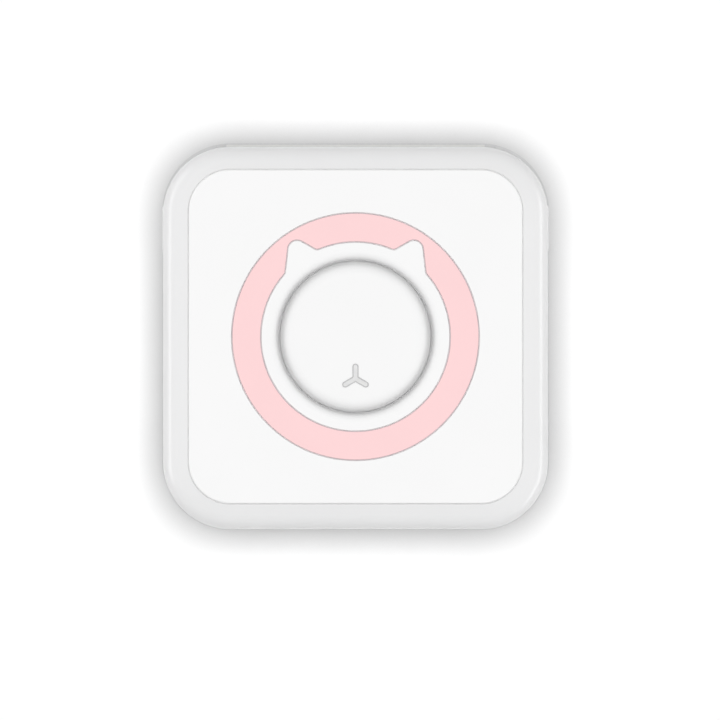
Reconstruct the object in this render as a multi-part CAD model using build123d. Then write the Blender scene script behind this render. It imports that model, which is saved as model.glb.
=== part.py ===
from build123d import *
from math import acos, atan2, cos, hypot, pi, radians, sin, sqrt, tan
import os

# Pocket thermal printer lying on its back, face up: a tray half and a hinged face half.
# X runs right, +Y runs to the paper exit, Z comes out of the face. Millimetres.

# Outer form of the two halves
body = 85.0
body_corner = 15.0
foot_height = 0.8
seam_z = 20.0
seam_gap = 0.3
wall = 2.0
base_edge = 5.0
cover_inset = 0.3
exit_lip = 0.9
rim_z = 41.75
bezel_width = 5.35
bezel_tilt = 20.0
bezel_round = 4.5
scoop_radius = 12.0
scoop_depth = 1.2

# Face plate, ear ring and button
plate_margin = 5.9
plate_corner = 9.2
plate_thick = 2.2
plate_proud = 0.25
plate_gap = 0.15
plate_edge = 0.4
ceiling_thick = 1.6
ring_width = 6.25
ring_inset = 4.2
ring_thick = 1.0
ring_gap = 0.2
ear_base_out = (15.5, 13.9)
ear_apex = (14.5, 22.5)
ear_base_in = (8.35, 18.95)
ear_round = 2.1
ear_circle = 20.8
ear_notch = 1.0
button_radius = 16.6
button_gap = 0.25
button_edge = 3.0
hole_edge = 2.0
button_proud = 0.1
button_wall = 1.7
button_top = 1.6
stem_radius = 2.0
rib_thick = 1.0
rib_depth = 1.2
flange_width = 1.6
flange_thick = 1.0
flange_gap = 0.05
window_y = -9.2
window_arm = 2.6
window_bar = 1.3
window_gap = 0.03

# Hinge across the back
hinge_radius = 1.6
pin_radius = 0.75
hinge_relief = 2.0
knuckles = 7
hinge_share = 0.8
knuckle_gap = 0.2
web_out = 0.5
web_low = 15.0
pin_short = 2.5
hinge_clear = 0.2

# Paper, roll bay and hood
paper = 57.0
roll_radius = 14.0
core_radius = 5.0
core_bore = 3.9
roll_back = 24.5
bay_gap = 0.8
bay_wall = 0.9
bay_side = 1.2
bay_clear = 0.7
tray_gap = 0.1
roll_rest = 0.3
strip_thick = 0.12
strip_run = 21.0
strip_z = 20.3
strip_gap = 0.07
lip_outer = 1.4
lip_inner = 0.5
hood_rise = 0.6
hood_clear = 0.1

# Platen and gears
platen_front = 14.0
platen_z = 15.5
platen_radius = 4.25
shaft_radius = 2.0
bush_radius = 3.5
bush_bore = 2.04
bush_flange = 4.15
post_radius = 4.6
module = 0.5
backlash = 0.12
platen_teeth = 24
small_teeth = 12
big_teeth = 28
pinion_teeth = 12
idler_angle = 108.0
motor_angle = 152.4
motor_radius = 7.5
motor_length = 12.0
motor_boss = 2.55
motor_reach_spot = 4.8
axle_radius = 1.0
running = 0.05

# Print head and its frame
post_gap = 1.3
post_thick = 1.7
plate_gap_in = 0.4
sheet = 1.2
head_behind = 5.9
head_ahead = 4.5
head_z = 21.2
head_thick = 2.0
heater_width = 6.0
head_over = 0.8
heater_over = 0.3
platen_over = 0.5
bar_behind = 2.0
heater_gap = 0.35
trunnion = 1.0
bar_z = 26.5
frame_low = 14.0
spring_thick = 0.4

# Board, battery and sockets
board_drop = 3.4
board_thick = 0.8
board_margin = 8.5
usb_width = 8.9
usb_height = 3.2
usb_length = 7.4
socket_gap = 0.35
battery_deep = 15.8
battery_high = 8.5
battery_gap = 4.9
tape_thick = 0.5

board_ahead = 26.0
tongue_short = 5.0
usb_behind = 2.0
reset_ahead = 8.4
battery_ahead = 9.5
tape_inset = 4.0

# Feet and tear bar
foot_inset = 12.5
exit_past = 2.1
foot_radius = 4.0
foot_sink = 0.4
tear_z = 19.15
tear_thick = 0.8
tear_pitch = 1.5
tear_tooth = 0.8
tear_short = 0.1

# Fasteners and bosses
tray_tab_z = 5.0
tray_tab = 1.2
hood_ear_low = 20.8
hood_ear = 1.2
screw_radius = 0.9
screw_head = 1.9
head_height = 1.1
boss_radius = 2.4
drive_radius = 0.7
drive_depth = 0.5
tray_screw_out = 4.3
hood_screw_out = 5.3

# Worked-out heights and places
cover_wide = body - 2 * cover_inset
cover_deep = body - cover_inset - exit_lip
cover_y = (cover_inset - exit_lip) / 2
cover_corner = body_corner - cover_inset
cover_z = seam_z + seam_gap
cover_back = -body / 2 + cover_inset
plate = body - 2 * plate_margin
face_z = rim_z + plate_proud
plate_z = face_z - plate_thick
ceiling_z = plate_z - ceiling_thick
slope_z = rim_z - bezel_width * tan(radians(bezel_tilt))
ring_inner = button_radius + ring_inset
ring_outer = ring_inner + ring_width
hood_ear_z = hood_ear_low + hood_ear
floor_z = foot_height + wall
hinge_y = cover_back + hinge_radius
hinge_z = seam_z + seam_gap / 2
hinge_span = body * hinge_share
pin_half = hinge_span / 2 - pin_short
roll_y = -body / 2 + roll_back
bay_radius = roll_radius + bay_gap
bay_z = floor_z + tray_gap + bay_wall + bay_radius
roll_z = bay_z - (bay_radius - roll_radius - roll_rest)
bay_half = paper / 2 + bay_clear
strip_y = roll_y + strip_run
platen_y = body / 2 - platen_front
post_in = paper / 2 + post_gap
plate_in = post_in + post_thick + plate_gap_in
platen_half = paper / 2 + platen_over
head_half = paper / 2 + head_over
heater_half = paper / 2 + heater_over
head_back = platen_y - head_behind
head_front = platen_y + head_ahead
bar_back = platen_y - bar_behind
exit_half = paper / 2 + exit_past
flange_top = ceiling_z - flange_gap
flange_low = flange_top - flange_thick
button_z = face_z + button_proud
under_z = button_z - button_top
stem_z = flange_low - 0.05
idler_reach = module * (platen_teeth + small_teeth) / 2
motor_reach = module * (big_teeth + pinion_teeth) / 2
idler_y = platen_y + idler_reach * cos(radians(idler_angle))
idler_z = platen_z + idler_reach * sin(radians(idler_angle))
motor_y = idler_y + motor_reach * cos(radians(motor_angle))
motor_z = idler_z + motor_reach * sin(radians(motor_angle))
plate_out = plate_in + sheet
gear_x = plate_out + 0.4
gear_wide = 2.3
big_x = gear_x + gear_wide + 0.4
big_wide = 1.6
clip_x = big_x + big_wide + 0.2
nip_z = platen_z + platen_radius
pivot_y = head_back + trunnion
pivot_z = head_z + head_thick / 2
hood_screw_x = bay_half + hood_screw_out
tray_screw_x = bay_half + tray_screw_out
board_z = ceiling_z - board_drop
board_top = board_z + board_thick
board_half = hood_screw_x - boss_radius - 1.1
board_back = -body / 2 + board_margin
board_front = roll_y + board_ahead
plug_y = board_front - 4.0
tongue_x = body / 2 - tongue_short
usb_y = roll_y - usb_behind
usb_z = board_z - usb_height / 2
usb_x = body / 2 - cover_inset - wall + 0.1
reset_y = usb_y + reset_ahead
battery_left = -board_half + 1.0
battery_right = plate_in - motor_length - battery_gap
battery_y = board_front + battery_ahead
bay_front_x = battery_right + 3.0
bay_front_y = battery_y + 8.5
tray_screw_spots = [(side * tray_screw_x, roll_y + step) for side in (-1, 1) for step in (-6.0, 6.0)]
hood_screw_spots = [(side * hood_screw_x, roll_y + step) for side in (-1, 1) for step in (-12.0, 12.0)]
frame_screw_spots = [(side * (paper / 2 - 1.0), platen_y + 1.5) for side in (-1, 1)]
board_screw_rows = (board_back + 3.0, board_front - 3.0)
board_screw_spots = [(side * (board_half - 3.0), y) for side in (-1, 1) for y in board_screw_rows]
foot_spots = [(x * (body / 2 - foot_inset), y * (body / 2 - foot_inset)) for x in (-1, 1) for y in (-1, 1)]
motor_screw_spots = [
    (motor_y + motor_reach_spot * cos(radians(angle)), motor_z + motor_reach_spot * sin(radians(angle)))
    for angle in (150.0, 300.0)
]

os.makedirs("parts", exist_ok=True)


def block(x0, x1, y0, y1, z0, z1):
    return Pos((x0 + x1) / 2, (y0 + y1) / 2, (z0 + z1) / 2) * Box(x1 - x0, y1 - y0, z1 - z0)


def disc(radius, z0, z1, x=0, y=0):
    return Pos(x, y, (z0 + z1) / 2) * Cylinder(radius, z1 - z0)


def rod(radius, x0, x1, y, z):
    return Pos((x0 + x1) / 2, y, z) * Rot(0, 90, 0) * Cylinder(radius, x1 - x0)


def slab(wide, deep, corner, z0, z1, y=0):
    return Pos(0, y, z0) * extrude(RectangleRounded(wide, deep, corner), z1 - z0)


def along_x(sketch, x0, x1):
    return extrude(Plane.YZ.offset(x0) * sketch, x1 - x0)


def both_sides(shape):
    return shape + mirror(shape, Plane.YZ)


def save(node, shape):
    export_step(shape, "parts/" + node + ".step")


def screws(spots, seat_z, length, up=1):
    group = None
    for x, y in spots:
        low, high = sorted((seat_z, seat_z + up * length))
        head_low, head_high = sorted((seat_z, seat_z - up * head_height))
        drive = disc(drive_radius, head_low, head_low + drive_depth, x, y)
        if up < 0:
            drive = disc(drive_radius, head_high - drive_depth, head_high, x, y)
        one = disc(screw_radius, low, high, x, y) + disc(screw_head, head_low, head_high, x, y) - drive
        group = one if group is None else group + one
    return group


def bosses(spots, radius, z0, z1):
    group = None
    for x, y in spots:
        one = disc(radius, z0, z1, x, y) - disc(screw_radius, z0 - 1, z1, x, y)
        group = one if group is None else group + one
    return group


# Gear outline with involute flanks, a tooth centred on the given angle
def gear_face(teeth, phase):
    pitch = module * teeth / 2
    base_circle = pitch * cos(radians(20))
    tip = pitch + 0.9 * module
    root = pitch - 1.25 * module
    start = max(base_circle, root + 0.02)
    half = pi / (2 * teeth) - backlash / (2 * pitch) + tan(radians(20)) - radians(20)
    flank = []
    for step in range(4):
        radius = start + (tip - start) * step / 3
        roll = acos(min(1, base_circle / radius))
        flank.append((radius, half - (tan(roll) - roll)))
    side = [(root, flank[0][1] + 0.01)] + flank
    points = []
    for tooth in range(teeth):
        middle = radians(phase) + 2 * pi * tooth / teeth
        for radius, lean in side:
            points.append((radius * cos(middle - lean), radius * sin(middle - lean)))
        for radius, lean in reversed(side):
            points.append((radius * cos(middle + lean), radius * sin(middle + lean)))
    return make_face(Polyline(*points, close=True))


def gear(teeth, phase, x0, x1, y, z):
    return along_x(Pos(y, z) * gear_face(teeth, phase), x0, x1)


# Hinge knuckles share one axis and alternate between the two halves
def knuckle_spans(first):
    pitch = hinge_span / knuckles
    spans = []
    for index in range(first, knuckles, 2):
        left = -hinge_span / 2 + index * pitch
        spans.append((left + knuckle_gap / 2, left + pitch - knuckle_gap / 2))
    return spans


def thumb_scoop():
    ball = Pos(body / 2 + scoop_radius - scoop_depth, body / 2 - 18.5, hinge_z) * Sphere(scoop_radius)
    return both_sides(ball)


def base_shell():
    outer = slab(body, body, body_corner, foot_height, seam_z)
    outer = fillet(outer.edges().group_by(Axis.Z)[0], base_edge)
    inside = slab(body - 2 * wall, body - 2 * wall, body_corner - wall, floor_z, seam_z + 1)
    inside = fillet(inside.edges().group_by(Axis.Z)[0], base_edge - wall)
    shell = outer - inside
    relief = hinge_span / 2 + 1.5
    relief_front = -body / 2 + wall + 0.1
    shell -= block(-relief, relief, -body / 2 - 1, relief_front, hinge_z - hinge_relief, seam_z + 1)
    shell -= thumb_scoop()
    outline = slab(cover_wide, cover_wide, cover_corner, foot_height, body)
    for x0, x1 in knuckle_spans(0):
        knuckle = rod(hinge_radius, x0, x1, hinge_y, hinge_z)
        knuckle += block(x0, x1, hinge_y - web_out, hinge_y + hinge_radius, web_low, hinge_z)
        shell += knuckle & outline
    shell -= rod(pin_radius, -pin_half, pin_half, hinge_y, hinge_z)
    lip_out = body / 2 - cover_inset - wall - hinge_clear
    lip_back = -body / 2 + 17.5
    lip_front = body / 2 - 14.5
    lip = block(lip_out - 0.9, lip_out, lip_back, lip_front, seam_z - 2.5, seam_z + 1.3)
    lip += block(lip_out - 0.9, body / 2 - wall + 0.1, lip_back, lip_front, seam_z - 2.5, seam_z)
    shell += both_sides(lip)
    post_out = post_in + post_thick
    post = block(post_in, post_out, platen_y - post_radius, platen_y + post_radius, floor_z - 0.2, platen_z)
    post += rod(post_radius, post_in, post_out, platen_y, platen_z)
    post -= rod(bush_radius, post_in - 1, post_out + 1, platen_y, platen_z)
    shell += both_sides(post)
    shelf_front = body / 2 - wall + 0.1
    shelf = block(-bay_half, bay_half, platen_y + 5.7, shelf_front, tear_z - 1.15, tear_z + 0.05)
    for step in (-2, -1, 0, 1, 2):
        x = step * (bay_half - 3.2) / 2
        shelf += block(x - 0.6, x + 0.6, platen_y + 7.5, shelf_front, tear_z - 7.15, tear_z - 1.05)
    shell += shelf
    shell -= block(-exit_half, exit_half, body / 2 - wall - 0.7, body / 2 + 0.1, tear_z, seam_z + 0.1)
    shell += bosses(tray_screw_spots, boss_radius, floor_z - 0.2, tray_tab_z)
    for x, y in foot_spots:
        shell -= disc(foot_radius, foot_height - 0.1, foot_height + foot_sink, x, y)
    return shell


def rubber_feet():
    group = None
    for x, y in foot_spots:
        foot = disc(foot_radius, 0, foot_height + foot_sink, x, y)
        foot = fillet(foot.edges().group_by(Axis.Z)[0], 0.3)
        group = foot if group is None else group + foot
    return group


def tear_bar():
    half = exit_half - tear_short
    front = body / 2
    count = int(2 * half / tear_pitch)
    start = -count * tear_pitch / 2
    points = [(-half, body / 2 - wall - 0.6), (-half, front - tear_tooth)]
    for index in range(count):
        left = start + index * tear_pitch
        points.append((left + 0.1, front - tear_tooth))
        points.append((left + tear_pitch / 2, front))
    points.append((start + count * tear_pitch - 0.1, front - tear_tooth))
    points.append((half, front - tear_tooth))
    points.append((half, body / 2 - wall - 0.6))
    return Pos(0, 0, tear_z) * extrude(make_face(Polyline(*points, close=True)), tear_thick)


def paper_tray():
    end = bay_half + bay_side
    tray = rod(bay_radius + bay_wall, -end, end, roll_y, bay_z)
    tray -= rod(bay_radius, -bay_half, bay_half, roll_y, bay_z)
    tray -= block(-end - 1, end + 1, roll_y - 20, roll_y + 20, seam_z - 0.2, 40)
    for x, y in tray_screw_spots:
        inner = (bay_half + 0.2) * (1 if x > 0 else -1)
        outer = x + (2.2 if x > 0 else -2.2)
        low, high = sorted((inner, outer))
        tray += block(low, high, y - 2.4, y + 2.4, tray_tab_z, tray_tab_z + tray_tab)
        tray -= disc(screw_radius, tray_tab_z - 1, tray_tab_z + tray_tab + 1, x, y)
    tray -= rod(bay_radius, -bay_half, bay_half, roll_y, bay_z)
    return tray


def hinge_pin():
    return rod(pin_radius, -pin_half, pin_half, hinge_y, hinge_z)


def platen_bush():
    bush = rod(bush_radius, post_in - 0.1, post_in + post_thick, platen_y, platen_z)
    bush += rod(bush_flange, post_in - 0.5, post_in, platen_y, platen_z)
    return bush - rod(bush_bore, post_in - 1, post_in + post_thick + 1, platen_y, platen_z)


# The free end of the paper runs from the roll, under the hood's lip, over the platen to the exit
def paper_strip():
    reach = roll_radius + strip_thick / 2 + 0.08
    run_y = strip_y - roll_y
    run_z = strip_z - roll_z
    leave = atan2(run_z, run_y) + acos(reach / hypot(run_y, run_z))
    start = (roll_y + reach * cos(leave), roll_z + reach * sin(leave))
    nip = (platen_y, nip_z + strip_gap + strip_thick / 2)
    bend = (strip_y, strip_z)
    end = (body / 2 - 0.3, tear_z + tear_thick + 0.12)
    route = FilletPolyline(start, bend, nip, end, radius=3.0)
    half = paper / 2 - 0.1
    return along_x(trace(route, line_width=strip_thick), -half, half)


# The cover's outside: upright walls, a rounded edge and a gently sloping bezel up to the rim
def cover_body():
    low = RectangleRounded(cover_wide, cover_deep, cover_corner)
    inner = cover_corner - bezel_width
    high = RectangleRounded(cover_wide - 2 * bezel_width, cover_deep - 2 * bezel_width, inner)
    solid = slab(cover_wide, cover_deep, cover_corner, cover_z, slope_z, cover_y)
    solid += Pos(0, cover_y, 0) * loft([Pos(0, 0, slope_z) * low, Pos(0, 0, rim_z) * high], ruled=True)
    ridge = solid.edges().filter_by(lambda e: abs(e.center().Z - slope_z) < 0.01)
    return fillet(ridge, bezel_round)


def cover_shell():
    shell = cover_body()
    inside = (cover_wide - 2 * wall, cover_deep - 2 * wall, cover_corner - wall)
    hollow = slab(*inside, cover_z - 1, ceiling_z, cover_y)
    hollow = fillet(hollow.edges().group_by(Axis.Z)[-1], 1.0)
    shell -= hollow
    pocket = plate + 2 * plate_gap
    shell -= slab(pocket, pocket, plate_corner + plate_gap, plate_z, body)
    shell -= disc(button_radius + button_gap + 0.1, ceiling_z - 1, body)
    shell -= block(-exit_half, exit_half, body / 2 - exit_lip - wall - 1, body, cover_z - 1, cover_z + 0.7)
    shell -= thumb_scoop()
    half = hinge_span / 2
    shell -= rod(hinge_radius + hinge_clear, -half, half, hinge_y, hinge_z)
    for x0, x1 in knuckle_spans(1):
        shell += rod(hinge_radius, x0, x1, hinge_y, hinge_z)
        shell += block(x0, x1, cover_back, hinge_y + 1.0, hinge_z, hinge_z + 3.0)
        shell -= rod(pin_radius + running, x0 - 0.1, x1 + 0.1, hinge_y, hinge_z)
    mouth = SlotOverall(usb_width + 2 * socket_gap, usb_height + 2 * socket_gap)
    shell -= along_x(Pos(usb_y, usb_z) * mouth, body / 2 - wall - 1, body / 2 + 1)
    shell -= rod(0.6, body / 2 - wall - 1, body / 2 + 1, reset_y, usb_z)
    shell += bosses(hood_screw_spots, boss_radius, hood_ear_z, ceiling_z + 0.2)
    shell += bosses(frame_screw_spots, boss_radius, bar_z + sheet, ceiling_z + 0.2)
    shell += bosses(board_screw_spots, boss_radius - 0.2, board_top, ceiling_z + 0.2)
    return shell


# Inner edge of the ring: a circle with two rounded ears
def head_outline(grow=0.0):
    outline = Circle(ring_inner + grow)
    scale = ring_inner / ear_circle
    for side in (-1, 1):
        points = [ear_base_out, ear_apex, ear_base_in, (0, 0)]
        ear = make_face(Polyline(*[(side * x * scale, y * scale) for x, y in points], close=True))
        apex = ear.vertices().sort_by(Axis.Y)[-1]
        ear = fillet(apex, ear_round)
        if grow:
            ear = offset(ear, grow)
        outline += ear
    return offset(offset(outline, ear_notch), -ear_notch)


def face_plate():
    body_plate = slab(plate, plate, plate_corner, plate_z, face_z)
    body_plate = fillet(body_plate.edges().group_by(Axis.Z)[-1], plate_edge)
    hole = button_radius + button_gap
    body_plate -= disc(hole, plate_z - 1, face_z + 1)
    rim = body_plate.edges().filter_by(GeomType.CIRCLE).filter_by(lambda e: abs(e.radius - hole) < 0.01)
    body_plate = fillet(rim.sort_by(Axis.Z)[-1], hole_edge)
    track = Circle(ring_outer + ring_gap) - head_outline(-ring_gap)
    body_plate -= Pos(0, 0, face_z - ring_thick) * extrude(track, ring_thick + 1)
    return body_plate


def accent_ring():
    ring = Circle(ring_outer) - head_outline()
    return Pos(0, 0, face_z - ring_thick) * extrude(ring, ring_thick)


def window_outline(grow=0.0):
    bars = None
    for angle in (90, 210, 330):
        bar = Rot(0, 0, angle) * Pos(window_arm / 2, 0) * SlotOverall(window_arm + window_bar, window_bar)
        bars = bar if bars is None else bars + bar
    if grow:
        bars = offset(bars, grow)
    return Pos(0, window_y) * bars


def power_button():
    inner = button_radius - button_wall
    cap = disc(button_radius, flange_low, button_z)
    cap = fillet(cap.edges().group_by(Axis.Z)[-1], button_edge)
    cap += disc(button_radius + flange_width, flange_low, flange_top)
    cap -= disc(inner, flange_low - 1, under_z)
    cap += disc(stem_radius, stem_z, under_z + 0.1)
    half = rib_thick / 2
    rib = block(stem_radius - 0.5, inner + 0.2, -half, half, under_z - rib_depth, under_z + 0.1)
    for angle in range(45, 360, 90):
        cap += Rot(0, 0, angle) * rib
    cap -= Pos(0, 0, under_z - 1) * extrude(window_outline(), button_top + 2)
    return cap


def light_window():
    window = Pos(0, 0, under_z - 0.1) * extrude(window_outline(-window_gap), button_top + 0.1)
    window += disc(4.4, under_z - 0.8, under_z, 0, window_y)
    window += disc(1.5, flange_low - 0.1, under_z - 0.7, 0, window_y)
    return window


def switch_plunger():
    return disc(1.1, board_top + 0.65, stem_z)


def tact_switch():
    body_block = block(-3.1, 3.1, -3.1, 3.1, board_top, board_top + 0.9)
    for x, y in [(-3.7, 2), (3.7, 2), (-3.7, -2), (3.7, -2)]:
        body_block += block(x - 0.7, x + 0.7, y - 0.4, y + 0.4, board_top, board_top + 0.25)
    return body_block - disc(1.25, board_top + 0.1, board_top + 2)


# Section of the hood: the bay circle and a straight slope tangent to it and to the lip
def hood_hull(bay, lip):
    lip_y = strip_y
    lip_z = strip_z + hood_rise
    run_y = lip_y - roll_y
    run_z = lip_z - bay_z
    lean = atan2(run_z, run_y) + acos((bay - lip) / hypot(run_y, run_z))
    far = (roll_y + bay * cos(lean), bay_z + bay * sin(lean))
    near = (lip_y + lip * cos(lean), lip_z + lip * sin(lean))
    wedge = make_face(Polyline((roll_y, bay_z), far, near, (near[0], 0), (roll_y, 0), close=True))
    return Pos(roll_y, bay_z) * Circle(bay) + wedge


def roll_hood():
    end = bay_half + bay_side - 0.2
    inner = bay_radius + hood_clear
    outer = inner + bay_wall
    hood = along_x(hood_hull(outer, lip_outer), -end, end)
    hood -= along_x(hood_hull(inner, lip_inner), -bay_half, bay_half)
    hood -= block(-end - 1, end + 1, -body, body, 0, hood_ear_low)
    for x, y in hood_screw_spots:
        inner_x = (bay_half + 0.2) * (1 if x > 0 else -1)
        outer_x = x + (2.4 if x > 0 else -2.4)
        low, high = sorted((inner_x, outer_x))
        hood += block(low, high, y - 2.4, y + 2.4, hood_ear_low, hood_ear_z)
        hood -= disc(screw_radius, hood_ear_low - 1, hood_ear_z + 1, x, y)
    return hood


def mech_frame():
    right = block(plate_in, plate_out, motor_y - motor_radius, head_front, frame_low, bar_z + sheet)
    right += block(plate_in, plate_out, motor_y - motor_radius, platen_y - 3.5, bar_z, motor_z + 5.0)
    left = block(-plate_out, -plate_in, head_back - 2, head_front, frame_low, bar_z + sheet)
    frame = right + left + block(-plate_out, plate_out, bar_back, head_front, bar_z, bar_z + sheet)
    notch = block(-body, body, platen_y - 2.5, platen_y + 2.5, 0, platen_z)
    notch += rod(2.5, -body, body, platen_y, platen_z)
    frame -= notch
    frame -= rod(trunnion + running, -body, body, pivot_y, pivot_z)
    frame -= rod(axle_radius, plate_in - 1, plate_out + 1, idler_y, idler_z)
    frame -= rod(motor_boss + running, plate_in - 1, plate_out + 1, motor_y, motor_z)
    for spot_y, spot_z in motor_screw_spots:
        frame -= rod(screw_radius, plate_in - 1, plate_out + 1, spot_y, spot_z)
    for x, y in frame_screw_spots:
        frame -= disc(screw_radius, bar_z - 1, bar_z + 3, x, y)
    return frame


def motor_can():
    can = rod(motor_radius, plate_in - motor_length, plate_in - 0.6, motor_y, motor_z)
    can = fillet(can.edges().filter_by(GeomType.CIRCLE), 0.6)
    can += rod(motor_radius - 0.9, plate_in - 0.7, plate_in, motor_y, motor_z)
    can += rod(motor_boss, plate_in - 0.1, plate_out + 0.2, motor_y, motor_z)
    can -= rod(axle_radius + running, plate_in - 4, plate_out + 1, motor_y, motor_z)
    for spot_y, spot_z in motor_screw_spots:
        can -= rod(screw_radius, plate_in - 3, plate_in + 0.1, spot_y, spot_z)
    return can


def motor_screws():
    group = None
    for spot_y, spot_z in motor_screw_spots:
        one = rod(screw_radius, plate_in - 2.5, plate_out, spot_y, spot_z)
        one += rod(1.5, plate_out, plate_out + 0.8, spot_y, spot_z)
        group = one if group is None else group + one
    return group


def idler_axle():
    axle = rod(axle_radius, plate_in, clip_x + 0.7, idler_y, idler_z)
    groove = rod(2, clip_x, clip_x + 0.4, idler_y, idler_z) - rod(0.7, 0, body, idler_y, idler_z)
    return axle - groove


def idler_clip():
    x0 = clip_x + 0.02
    clip = rod(2.0, x0, x0 + 0.36, idler_y, idler_z) - rod(0.7, x0 - 1, x0 + 1, idler_y, idler_z)
    return clip - block(x0 - 1, x0 + 1, idler_y - 0.6, idler_y + 0.6, idler_z - 3, idler_z)


# Teeth meet on the line between centres: a tooth of one wheel faces a gap of the other
def idler_gear():
    half_small = 180.0 / small_teeth
    small = gear(small_teeth, idler_angle + 180 + half_small, gear_x, big_x, idler_y, idler_z)
    big = gear(big_teeth, motor_angle, big_x, big_x + big_wide, idler_y, idler_z)
    return small + big - rod(axle_radius + running, 0, body, idler_y, idler_z)


def platen_gear():
    wheel = gear(platen_teeth, idler_angle, gear_x, gear_x + gear_wide, platen_y, platen_z)
    return wheel - rod(shaft_radius, 0, body, platen_y, platen_z)


def motor_pinion():
    half_tooth = 180.0 / pinion_teeth
    wheel = gear(pinion_teeth, motor_angle + 180 + half_tooth, big_x, big_x + big_wide, motor_y, motor_z)
    return wheel - rod(axle_radius, 0, body, motor_y, motor_z)


def motor_shaft():
    return rod(axle_radius, plate_in - 3.8, big_x + big_wide + 0.1, motor_y, motor_z)


def platen_shaft():
    right = gear_x + gear_wide + 0.1
    return rod(shaft_radius, -plate_out - 0.6, right, platen_y, platen_z)


def platen_rubber():
    sleeve = rod(platen_radius, -platen_half, platen_half, platen_y, platen_z)
    sleeve = fillet(sleeve.edges().filter_by(GeomType.CIRCLE), 0.2)
    return sleeve - rod(shaft_radius, -body, body, platen_y, platen_z)


def paper_roll():
    roll = rod(roll_radius, -paper / 2, paper / 2, roll_y, roll_z)
    return roll - rod(core_radius, -body, body, roll_y, roll_z)


def roll_core():
    core = rod(core_radius, -paper / 2, paper / 2, roll_y, roll_z)
    return core - rod(core_bore, -body, body, roll_y, roll_z)


def head_plate():
    plate_block = block(-head_half, head_half, head_back, head_front, head_z, head_z + head_thick)
    for x in range(-24, 25, 8):
        plate_block -= block(x - 2.5, x + 2.5, head_back + 3, head_back + 5.5, head_z + 1.2, head_z + 3)
    axles = rod(trunnion, -plate_out + 0.1, plate_out - 0.1, pivot_y, pivot_z)
    return plate_block + axles


def heater_strip():
    y0 = platen_y - heater_width / 2
    strip = block(-heater_half, heater_half, y0, y0 + heater_width, nip_z + heater_gap, head_z)
    return strip


def pressure_spring():
    low = head_z + head_thick + spring_thick / 2 + 0.02
    high = bar_z - spring_thick / 2
    points = [(-23, low), (-20.5, low), (-10, high), (10, high), (20.5, low), (23, low)]
    route = FilletPolyline(*points, radius=1.5)
    section = trace(route, line_width=spring_thick)
    return Pos(0, platen_y + 3.1, 0) * extrude(Plane.XZ * section, 4.0)


def head_cable():
    top = head_z + head_thick + 1.0
    bend_y = board_front + 0.6
    points = [(head_back + 2.9, top), (bend_y, top), (bend_y, board_z - 0.9), (plug_y + 2.05, board_z - 0.9)]
    route = FilletPolyline(*points, radius=1.0)
    return along_x(trace(route, line_width=0.2), -9.0, 9.0)


def main_board():
    board = block(-board_half, board_half, board_back, board_front, board_z, board_top)
    board += block(board_half - 1, tongue_x, usb_y - 6.0, reset_y + 2.2, board_z, board_top)
    board += block(-board_half, bay_front_x, board_front - 1, bay_front_y, board_z, board_top)
    for x, y in board_screw_spots:
        board -= disc(screw_radius, board_z - 1, board_top + 1, x, y)
    return board


def chip(x, y, wide, deep, high, under=False):
    low = board_z - high if under else board_top
    return block(x - wide / 2, x + wide / 2, y - deep / 2, y + deep / 2, low, low + high)


def usb_port():
    can = along_x(Pos(usb_y, usb_z) * SlotOverall(usb_width, usb_height), usb_x - usb_length, usb_x)
    mouth = SlotOverall(usb_width - 0.6, usb_height - 0.6)
    return can - along_x(Pos(usb_y, usb_z) * mouth, usb_x - 6.2, usb_x + 1)


def usb_tongue():
    return block(usb_x - 6.2, usb_x - 0.9, usb_y - 3.3, usb_y + 3.3, usb_z - 0.35, usb_z + 0.35)


def battery():
    top = board_z - tape_thick
    half = battery_deep / 2
    cell = block(battery_left, battery_right, battery_y - half, battery_y + half, top - battery_high, top)
    return fillet(cell.edges().filter_by(Axis.X), 1.6)


def battery_tape():
    x0, x1 = battery_left + tape_inset, battery_right - tape_inset
    half = (battery_deep - tape_inset) / 2
    return block(x0, x1, battery_y - half, battery_y + half, board_z - tape_thick, board_z)


def leads(places, y0, y1, z):
    group = None
    for x in places:
        one = Pos(x, (y0 + y1) / 2, z) * Rot(90, 0, 0) * Cylinder(0.45, y1 - y0)
        group = one if group is None else group + one
    return group


def battery_leads():
    places = [-board_half + 8 + step for step in (-1.0, 1.0)]
    return leads(places, plug_y + 2.0, battery_y - battery_deep / 2, board_z - 1.1)


def motor_leads():
    places = [board_half - 9 + step for step in (-1.6, -0.4, 0.8, 2.0)]
    return leads(places, plug_y + 2.0, plug_y + 6.5, board_z - 1.5)


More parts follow.
